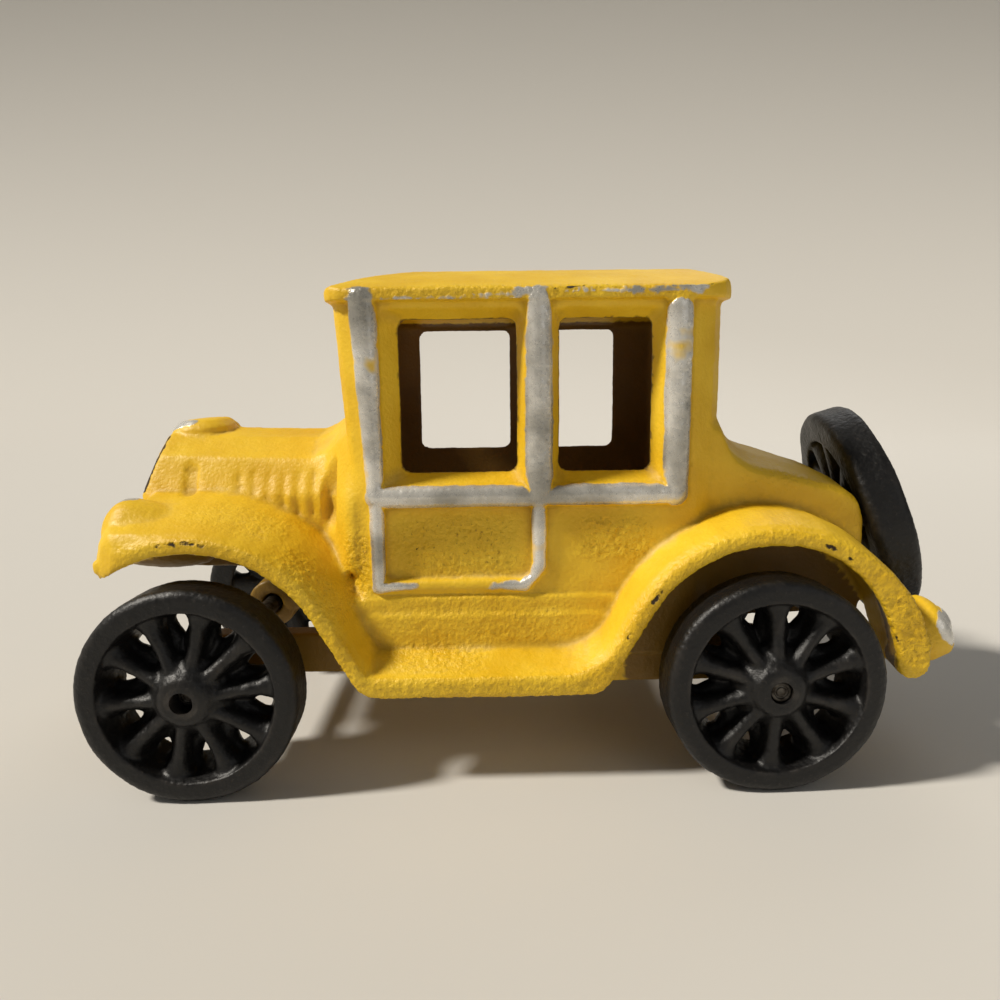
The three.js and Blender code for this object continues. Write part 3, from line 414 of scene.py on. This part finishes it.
SILVER = BEADS + [
    ((27.0, ROOF_EDGE, 69.2), (46.5, ROOF_EDGE, 69.8), -0.2, 0.05),
    ((46.5, ROOF_EDGE, 70.0), (50.0, ROOF_EDGE, 70.0), 0.3, 0.4),
    ((53.0, ROOF_EDGE, 70.0), (72.0, ROOF_EDGE, 70.0), -0.1, 0.2),
    ((-10.0, 2.0, 50.9), (-6.2, 4.0, 52.0), 1.5, 0.9),
    ((-13.0, 18.6, 40.0), (-9.5, 18.6, 41.8), 0.9, 0.5),
    ((108.2, 24.9, 22.4), (110.1, 22.2, 22.0), 2.2, 2.2),
]
print("silver strokes:", len(SILVER))

# %% Chips on thin edges
RIM = 27.0

CHIPS = [
    ((-3.2, RIM, 36.3), (-0.8, RIM, 36.6), 0.25, 0.4),
    ((0.4, RIM, 36.7), (3.0, RIM, 36.2), 0.4, 0.25),
    ((6.0, RIM, 35.5), (8.4, RIM, 34.7), 0.35, 0.25),
    ((12.0, RIM, 32.5), (12.3, RIM, 32.2), 0.2, 0.2),
    ((64.6, RIM, 27.3), (66.0, RIM, 28.9), 0.4, 0.25),
    ((61.3, RIM, 22.2), (61.6, RIM, 22.6), 0.3, 0.3),
    ((87.4, RIM, 35.6), (90.4, RIM, 34.2), 0.2, 0.3),
    ((91.8, RIM, 33.4), (92.2, RIM, 33.1), 0.3, 0.3),
    ((99.2, RIM, 21.6), (99.8, RIM, 20.8), 0.3, 0.2),
    ((102.6, RIM, 20.4), (102.8, RIM, 20.1), 0.3, 0.2),
    ((37.5, RIM, 15.3), (37.8, RIM, 15.3), 0.15, 0.15),
    ((41.4, RIM, 15.1), (41.8, RIM, 15.1), 0.15, 0.15),
    ((31.3, 19.7, 33.6), (31.6, 19.7, 33.9), 0.12, 0.12),
    ((51.6, ROOF_EDGE, 70.3), (56.8, ROOF_EDGE, 70.9), 0.2, 0.2),
    ((66.6, ROOF_EDGE, 69.6), (67.8, ROOF_EDGE, 69.8), 0.25, 0.2),
    ((72.0, ROOF_EDGE, 70.7), (75.2, ROOF_EDGE, 70.6), 0.2, 0.2),
    ((-9.1, 5.3, 49.6), (-9.4, 9.6, 46.5), 0.35, 0.5),
    ((-9.4, 9.6, 46.5), (-10.9, 11.6, 41.8), 0.5, 0.6),
]
print("chips:", len(CHIPS))

# %% Rough sand, pressed places, a lump, a flowing joint and the hollows darkened as painted shade
ROUGH_SAND = [
    ((37.5, 19.7, 34.2), (12.0, 1.5, 5.8), 1.0),
    ((60.0, SIDE, 35.2), (7.0, 1.5, 4.2), 0.85),
    ((22.6, SIDE, 31.0), (2.6, 3.0, 7.0), 0.8),
    ((17.0, 25.0, 29.0), (6.0, 4.0, 10.0), 0.75),
    ((34.0, 23.0, 18.4), (9.0, 4.0, 2.6), 0.6),
    ((41.0, 21.0, 23.4), (18.0, 1.6, 4.8), 0.45),
    ((8.0, 21.0, 38.5), (13.0, 5.0, 3.0), 0.35),
    ((46.0, 27.2, 25.0), (75.0, 0.8, 22.0), 0.55),
    ((101.0, 27.0, 22.0), (7.0, 2.0, 9.0), 0.9),
    ((48.0, ROOF_EDGE, 70.0), (32.0, 1.0, 1.8), 0.55),
    ((88.0, 16.0, 43.0), (11.0, 3.0, 3.0), 0.4),
]
PRESSED_IN = [((18.0, 16.4, 42.6), (1.5, 3.2, 7.5), 1.0), ((-3.6, 12.4, 43.0), (1.4, 3.0, 3.6), 0.25)]
STANDING_OUT = [((-13.2, 25.4, 32.9), (1.2, 1.8, 1.3), 1.0)]
FLOWING = [
    ((21.5, 20.0, 36.0), (4.2, 4.5, 15.0), 1.0),
    ((21.0, 23.0, 30.0), (4.6, 6.5, 7.5), 1.0),
    ((10.0, 14.0, 43.0), (10.0, 4.0, 6.0), 0.25),
]
# Opposite corners of the rooms inside the castings, and the size of the wells round the wheels.
# The paint in both is darkened as painted shade.
SHADED_HOLLOWS = [
    ((23.8, 0.0, 36.0), (74.2, 17.9, 67.9)),
    ((-9.0, 0.0, 10.0), (24.0, 9.9, 41.0)),
    ((24.0, 0.0, 10.0), (73.0, 14.5, 37.0)),
    ((73.0, 0.0, 10.0), (92.0, 13.0, 38.0)),
]
WELL_RADIUS = 19.3
WELL_REACH = 25.6
WELL_SHADE_SHARE = 0.9
print("rough patches:", len(ROUGH_SAND))

# %% Measuring strokes and spots
WEIGHT_LEVELS = 24
SPOT_EDGE = 0.5
FAR_OUTSIDE = -3.0


def mark_places(piece):
    points = read_vectors(piece.data, "co") / MM
    points[:, 0] -= front_axle.x / MM
    points[:, 1] = np.abs(points[:, 1])
    return points


def depth_in_strokes(points, strokes):
    deepest = np.full(len(points), FAR_OUTSIDE)
    for start, end, half_start, half_end in strokes:
        line = np.subtract(end, start)
        share = np.clip((points - start) @ line / (line @ line), 0, 1)
        distance = np.linalg.norm(points - start - share[:, None] * line, axis=1)
        deepest = np.maximum(deepest, half_start + share * (half_end - half_start) - distance)
    return deepest


def share_in_spots(points, spots):
    share = np.zeros(len(points))
    for middle, half_sizes, strength in spots:
        reach = (np.abs((points - middle) / half_sizes) ** 4).sum(axis=1) ** 0.25
        depth = np.clip((1 - reach) / SPOT_EDGE, 0, 1)
        share = np.maximum(share, strength * depth * depth * (3 - 2 * depth))
    return share


def share_in_rooms(points, rooms):
    share = np.zeros(len(points))
    for low, high in rooms:
        share = np.maximum(share, ((points > low) & (points < high)).all(axis=1))
    return share


# Painted shade: the wells round the wheels get a darker paint.
def painted_shade_in_wells(points):
    share = np.zeros(len(points))
    for axle in (front_axle, rear_axle):
        back = points[:, 0] - (axle - front_axle).x / MM
        from_axle = np.hypot(back, points[:, 2] - axle.z / MM)
        share = np.maximum(share, (from_axle < WELL_RADIUS) & (points[:, 1] < WELL_REACH))
    return WELL_SHADE_SHARE * share


def weigh(piece, name, weights):
    group = piece.vertex_groups.new(name=name)
    levels = np.round(weights * WEIGHT_LEVELS).astype(int)
    for level in range(1, WEIGHT_LEVELS + 1):
        members = np.flatnonzero(levels == level).tolist()
        group.add(members, level / WEIGHT_LEVELS, "REPLACE")


print("weights have", WEIGHT_LEVELS, "levels")

# %% [markdown]
# ## Sand texture
# A sand mould leaves two sizes of unevenness: soft swells of a few millimetres and a grain below one.
# Displace pushes the vertices along their normals by a cloud pattern, so the texture is real shape.

# %% Cloud patterns for the cast surface
def cloud(name, size):
    texture = bpy.data.textures.new(name, "CLOUDS")
    texture.noise_scale = size * MM
    texture.noise_depth = 2
    return texture


SWELL_SIZE = 5
GRAIN_SIZE = 0.65
swell = cloud("mould_swell", SWELL_SIZE)
sand_grain = cloud("sand_grain", GRAIN_SIZE)


def sand_cast(piece, texture, height, group=""):
    settings = {"texture_coords": "LOCAL", "mid_level": 0.5, "vertex_group": group}
    modify(piece, "DISPLACE", texture=texture, strength=height * MM, **settings)


print("patterns:", swell.name, sand_grain.name)

# %% [markdown]
# ## The two body castings
# Each casting starts as a copy of its CAD solid. A voxel remesh gives it an even skin, smoothing rounds
# every edge as sand and paint do, and the cloud patterns roughen it. The beads swell to round bars, and
# more smoothing lets the cowl flow into the fender. The copy then stands for the node.

# %% Cast skins for the two halves
SKIN_VOXEL = 0.36
MOST_TRIANGLES = 190000
SKIN_SMOOTHING = 4
JOINT_SMOOTHING = 60
BEAD_DOME = 0.5
BEAD_FULL_DEPTH = 1.4
GROOVE_DEPTH = 1.4
LUMP_HEIGHT = 0.6
SWELL_HEIGHT = 0.2
GRAIN_HEIGHT = 0.12
ROUGH_HEIGHT = 0.45


def casting(node_name, piece_name):
    half = copy_of(frame["nodes"][node_name], piece_name)
    take(half)
    bpy.ops.object.mode_set(mode="EDIT")
    bpy.ops.mesh.select_all(action="SELECT")
    bpy.ops.mesh.remove_doubles(threshold=0.001 * MM)
    bpy.ops.mesh.normals_make_consistent(inside=False)
    bpy.ops.object.mode_set(mode="OBJECT")
    modify(half, "REMESH", mode="VOXEL", voxel_size=SKIN_VOXEL * MM)
    modify(half, "SMOOTH", factor=0.5, iterations=SKIN_SMOOTHING)
    points = mark_places(half)
    weigh(half, "pressed_in", share_in_spots(points, PRESSED_IN))
    weigh(half, "standing_out", share_in_spots(points, STANDING_OUT))
    weigh(half, "rough_sand", share_in_spots(points, ROUGH_SAND))
    weigh(half, "flowing", share_in_spots(points, FLOWING))
    weigh(half, "beads", np.clip(depth_in_strokes(points, BEADS) / BEAD_FULL_DEPTH, 0, 1) ** 0.5)
    modify(half, "SMOOTH", vertex_group="flowing", factor=0.5, iterations=JOINT_SMOOTHING)
    modify(half, "DISPLACE", vertex_group="beads", strength=BEAD_DOME * MM, mid_level=0)
    modify(half, "DISPLACE", vertex_group="pressed_in", strength=-GROOVE_DEPTH * MM, mid_level=0)
    modify(half, "DISPLACE", vertex_group="standing_out", strength=LUMP_HEIGHT * MM, mid_level=0)
    sand_cast(half, swell, SWELL_HEIGHT)
    sand_cast(half, sand_grain, GRAIN_HEIGHT)
    sand_cast(half, sand_grain, ROUGH_HEIGHT, "rough_sand")
    if triangles(half) > MOST_TRIANGLES:
        modify(half, "DECIMATE", ratio=MOST_TRIANGLES / triangles(half))
    half.vertex_groups.clear()
    points = mark_places(half)
    measure_relief(half)
    keep_measure(half, "silver", depth_in_strokes(points, SILVER))
    keep_measure(half, "chip", depth_in_strokes(points, CHIPS))
    keep_measure(half, "sand", share_in_spots(points, ROUGH_SAND))
    # The inside measure darkens the paint in hollows and wells: painted shade, partly thin overspray.
    keep_measure(half, "inside", np.maximum(share_in_rooms(points, SHADED_HOLLOWS), painted_shade_in_wells(points)))
    dress(half, node_name, "body", enamel)


casting("left_body_half", "left_casting")
casting("right_body_half", "right_casting")

# %% [markdown]
# ## Wheels
# A wheel is cast in one: a broad rim whose well narrows to the back, a hub like a blunt cone, and ten
# ridged spokes on webs that close the gaps to small teardrop holes. The parts are modelled apart,
# joined, and given one skin by a voxel remesh. A spoke is a disc pulled out from the hub step by step.

# %% Rim, hub and spokes
SPOKE_COUNT = 10
WHEEL_RADIUS = 15.4
WHEEL_WIDTH = 7.2
RIM_THICKNESS = 3.2
WELL_DRAFT = 1.8
RIM_ROUND = 1.3
HUB_FOOT = 6.3
HUB_TIP = 3.1
HUB_DEPTH = 2.8
BOSS_RADIUS = 4.6
WHEEL_VOXEL = 0.25
WHEEL_SMOOTHING = 7
WHEEL_SWELL = 0.3
BORE_GAP = 0.1


def rim_ring(radius, width):
    ring = turned(radius, radius, -width, 0, bevel=RIM_ROUND, sides=96)
    front = radius - RIM_THICKNESS
    cut(ring, turned(front - WELL_DRAFT, front + 0.2, -width - 1, 0.5, sides=96))
    return ring


def hub_parts(width, front, back):
    cone = turned(HUB_FOOT, HUB_TIP, -HUB_DEPTH, front, bevel=0.6)
    boss = turned(BOSS_RADIUS, BOSS_RADIUS, -width - back, -1.0, bevel=0.5)
    return [cone, boss]


def spoke(road_stations, grow, deepen):
    scale = np.array([grow, grow, deepen, deepen])
    stations = (np.array(road_stations) * scale).tolist()
    start, half, crown, back = stations[0]
    middle = (crown + back) / 2
    size = (half, (crown - back) / 2)
    take()
    bpy.ops.mesh.primitive_circle_add(
        vertices=20,
        radius=1 * MM,
        fill_type="NGON",
        location=(start * MM, 0, middle * MM),
        rotation=(0, math.radians(90), 0),
    )
    arm = bpy.context.active_object
    bpy.ops.object.transform_apply(location=True, rotation=True, scale=True)
    bpy.ops.object.mode_set(mode="EDIT")
    bpy.ops.mesh.select_all(action="SELECT")
    bpy.ops.transform.resize(value=(1, *size), center_override=(start * MM, 0, middle * MM))
    for along, half, crown, back in stations[1:]:
        new_middle = (crown + back) / 2
        new_size = (half, (crown - back) / 2)
        step = ((along - start) * MM, 0, (new_middle - middle) * MM)
        bpy.ops.mesh.extrude_region_move(TRANSFORM_OT_translate={"value": step})
        bpy.ops.transform.resize(
            value=(1, new_size[0] / size[0], new_size[1] / size[1]),
            center_override=(along * MM, 0, new_middle * MM),
        )
        start, middle, size = along, new_middle, new_size
    bpy.ops.mesh.select_all(action="SELECT")
    bpy.ops.mesh.normals_make_consistent(inside=False)
    bpy.ops.object.mode_set(mode="OBJECT")
    return arm


print("wheel parts ready")

# %% One wheel pattern
def wheel_pattern(name, radius, width, hub_front, hub_back, bore):
    grow = (radius - RIM_THICKNESS) / (WHEEL_RADIUS - RIM_THICKNESS)
    deepen = width / WHEEL_WIDTH
    # Distance from the axle, half width, crown and back in mm for a road wheel, the last two from the
    # rim's front face. Another wheel scales the first two with its radius and the others with its width.
    ridge = spoke(
        [
            (2.6, 1.7, 0.2, -5.0),
            (5.2, 1.3, -0.3, -5.0),
            (7.4, 1.25, -0.7, -5.2),
            (10.0, 1.45, -0.8, -5.4),
            (11.4, 2.2, -0.8, -5.6),
            (13.2, 3.9, -0.4, -5.6),
        ],
        grow,
        deepen,
    )
    web = spoke(
        [
            (3.0, 2.0, -1.8, -6.6),
            (5.6, 2.1, -2.2, -6.6),
            (7.6, 2.55, -2.6, -6.6),
            (8.8, 2.3, -2.9, -6.6),
            (9.8, 2.15, -3.0, -6.6),
            (10.8, 2.55, -3.0, -6.6),
            (11.8, 3.6, -2.8, -6.6),
            (13.1, 4.2, -2.4, -6.7),
        ],
        grow,
        deepen,
    )
    arms = [ridge, web]
    for i in range(1, SPOKE_COUNT):
        turn = Matrix.Rotation(2 * math.pi * i / SPOKE_COUNT, 4, "Z")
        arms += [copy_of(ridge, "ridge", turn), copy_of(web, "web", turn)]
    pattern = join([rim_ring(radius, width), *hub_parts(width, hub_front, hub_back), *arms])
    pattern.name = name
    modify(pattern, "REMESH", mode="VOXEL", voxel_size=WHEEL_VOXEL * MM)
    modify(pattern, "SMOOTH", factor=0.5, iterations=WHEEL_SMOOTHING)
    cut(pattern, turned(bore, bore, -2 * width, 2 * width))
    print(name, triangles(pattern), "triangles")
    return pattern


def wheel_from(pattern, name, node_name, body, placement):
    wheel = copy_of(pattern, name, placement)
    sand_cast(wheel, swell, WHEEL_SWELL)
    sand_cast(wheel, sand_grain, GRAIN_HEIGHT)
    measure_relief(wheel)
    dress(wheel, node_name, body, black)


# %% Four road wheels from one pattern
RIM_FACE = 30.3
AXLE_RADIUS = 1.5
SPOKE_PHASE = {"front": 6, "rear": 18}

bore = AXLE_RADIUS + BORE_GAP
road_pattern = wheel_pattern("road_wheel_pattern", WHEEL_RADIUS, WHEEL_WIDTH, 1.0, 0.6, bore)
for end, axle in (("front", front_axle), ("rear", rear_axle)):
    for side, way in (("left", -1), ("right", 1)):
        phase = Matrix.Rotation(math.radians(SPOKE_PHASE[end]), 4, "Z")
        face_out = stand_along(axle + Vector((0, way * RIM_FACE * MM, 0)), Vector((0, way, 0)))
        name = f"{end}_{side}_road_wheel"
        wheel_from(road_pattern, name, f"{end}_{side}_wheel", f"{end}_wheelset", face_out @ phase)
bpy.data.objects.remove(road_pattern)

# %% The spare wheel on its slanting rivet
SPARE_RADIUS = 17.8
SPARE_WIDTH = 6.2
RIVET_HOLE = 1.8

spare_pattern = wheel_pattern("spare_pattern", SPARE_RADIUS, SPARE_WIDTH, 0.6, 0.6, RIVET_HOLE)
spare_axis = joint_axis["spare_wheel_spin"]
spare_front = joint_place["spare_wheel_spin"] + spare_axis * SPARE_WIDTH / 2 * MM
wheel_from(spare_pattern, "spare_cast_wheel", "spare_wheel", "spare", stand_along(spare_front, spare_axis))
bpy.data.objects.remove(spare_pattern)

# %% [markdown]
# ## Axles, screws and the rivet
# Each one is turned to the length of its CAD node, which is measured along the piece's own axis. The
# ends of an axle are staked with a ring-shaped punch, and a screw head gets a slot.

# %% Small steel pieces
PUNCH_RADIUS = 0.8
PUNCH_WIDTH = 0.4


def reach_along(node_name, place, axis):
    mesh = frame["nodes"][node_name].data
    along = (read_vectors(mesh, "co") - np.array(place)) @ np.array(axis) / MM
    return along.min(), along.max()


def axle_rod(end, place):
    low, high = reach_along(f"{end}_axle", place, (0, 1, 0))
    rod = turned(AXLE_RADIUS, AXLE_RADIUS, low, high, bevel=0.3)
    for face in (low, high):
        take()
        bpy.ops.mesh.primitive_torus_add(
            major_radius=PUNCH_RADIUS * MM,
            minor_radius=PUNCH_WIDTH / 2 * MM,
            major_segments=32,
            minor_segments=12,
            location=(0, 0, face * MM),
        )
        punch = bpy.context.active_object
        bpy.ops.object.transform_apply(location=True, rotation=True, scale=True)
        cut(rod, punch)
    rod.name = f"{end}_axle_rod"
    rod.data.transform(stand_along(place, Vector((0, 1, 0))))
    dress(rod, f"{end}_axle", f"{end}_wheelset", steel)


axle_rod("front", front_axle)
axle_rod("rear", rear_axle)

# %% Slotted screws and the rivet
SCREW_HEAD = 1.7
SCREW_RADIUS = 1.4
HEAD_FOOT = 2.5
HEAD_TOP = 1.9
SLOT_WIDTH = 0.7
SLOT_DEPTH = 0.8
RIVET_RADIUS = 1.5
RIVET_HEAD = 1.6
RIVET_TAIL = 1.2


def screw(end):
    node_name = f"{end}_body_screw"
    points = read_vectors(frame["nodes"][node_name].data, "co")
    middle = (points.min(axis=0) + points.max(axis=0)) / 2
    place = Vector((middle[0], 0, middle[2]))
    low, high = reach_along(node_name, place, (0, 1, 0))
    shank = turned(SCREW_RADIUS, SCREW_RADIUS, low, high - SCREW_HEAD / 2, bevel=0.2)
    head = turned(HEAD_FOOT, HEAD_TOP, high - SCREW_HEAD, high, bevel=0.6)
    take()
    slot_sizes = (8, SLOT_WIDTH, 2 * SLOT_DEPTH)
    bpy.ops.mesh.primitive_cube_add(size=1 * MM, location=(0, 0, high * MM), scale=slot_sizes)
    slot = bpy.context.active_object
    bpy.ops.object.transform_apply(location=True, rotation=True, scale=True)
    cut(head, slot)
    whole = join([head, shank])
    whole.name = f"{end}_slotted_screw"
    whole.data.transform(stand_along(place, Vector((0, 1, 0))))
    dress(whole, node_name, "body", steel)


screw("front")
screw("rear")
rivet_place = joint_place["spare_wheel_spin"]
low, high = reach_along("spare_wheel_rivet", rivet_place, spare_axis)
rivet_parts = [
    turned(3.3, 2.1, high - RIVET_HEAD, high, bevel=0.6),
    turned(RIVET_RADIUS, RIVET_RADIUS, low, high - RIVET_HEAD / 2),
    turned(3.0, 3.0, low, low + RIVET_TAIL, bevel=0.3),
]
rivet = join(rivet_parts)
rivet.name = "domed_rivet"
rivet.data.transform(stand_along(rivet_place, spare_axis))
dress(rivet, "spare_wheel_rivet", "body", steel)

# %% [markdown]
# ## Stage and light
# A pale floor curves up behind the toy, so there is no horizon line. The key light comes from the left,
# high and a little towards the viewer. It leaves the faces that look right in shade, as a window would.
# A weak lamp fills the right side, and the world gives an even base.

# %% Floor with a curved back
FLOOR_SIDE = 2.4
BACK_HEIGHT = 1.6
BACK_CURVE = 0.7

take()
bpy.ops.mesh.primitive_plane_add(size=FLOOR_SIDE, location=(0, 0, 0))
floor = bpy.context.active_object
floor.name = "studio_floor"
bpy.ops.object.mode_set(mode="EDIT")
bpy.ops.mesh.select_all(action="DESELECT")
bpy.ops.object.mode_set(mode="OBJECT")
for edge_line in floor.data.edges:
    edge_line.select = all(floor.data.vertices[v].co.y > 1.0 for v in edge_line.vertices)
bpy.ops.object.mode_set(mode="EDIT")
bpy.ops.mesh.extrude_region_move(TRANSFORM_OT_translate={"value": (0, 0, BACK_HEIGHT)})
bpy.ops.object.mode_set(mode="OBJECT")
modify(floor, "BEVEL", width=BACK_CURVE, segments=24, limit_method="ANGLE")
take(floor)
bpy.ops.object.shade_smooth()
paper = new_material("pale_studio_paper")
paper_shader = node(paper, "BsdfPrincipled", {"Base Color": colour("#d3d0ca"), "Roughness": 0.9})
node(paper, "OutputMaterial", {"Surface": paper_shader})
floor.data.materials.append(paper)
print("floor laid")

# %% Lamps and world
LOOK_AT = Vector((0, 0, 35 * MM))


def lamp(kind, name, place, power, tint, **settings):
    take()
    bpy.ops.object.light_add(type=kind, location=Vector(place) * MM)
    light = bpy.context.active_object
    light.name = name
    light.data.energy = power
    light.data.color = colour(tint)[:3]
    for setting, value in settings.items():
        setattr(light.data, setting, value)
    light.rotation_euler = (LOOK_AT - light.location).to_track_quat("-Z", "Y").to_euler()


lamp("SUN", "key_lamp", (-560, -130, 620), 3.55, "#fff8ec", angle=math.radians(7))
lamp("AREA", "fill_lamp", (420, -620, 320), 0.35, "#ffffff", shape="DISK", size=0.5)
lamp("AREA", "back_lamp", (260, 480, 520), 0.5, "#ffffff", shape="DISK", size=0.4)
world = bpy.data.worlds.new("studio_world")
bpy.context.scene.world = world
world.use_nodes = True
world.node_tree.nodes["Background"].inputs["Color"].default_value = colour("#f2f0ec")
world.node_tree.nodes["Background"].inputs["Strength"].default_value = 0.16
bpy.context.scene.view_settings.view_transform = "Standard"
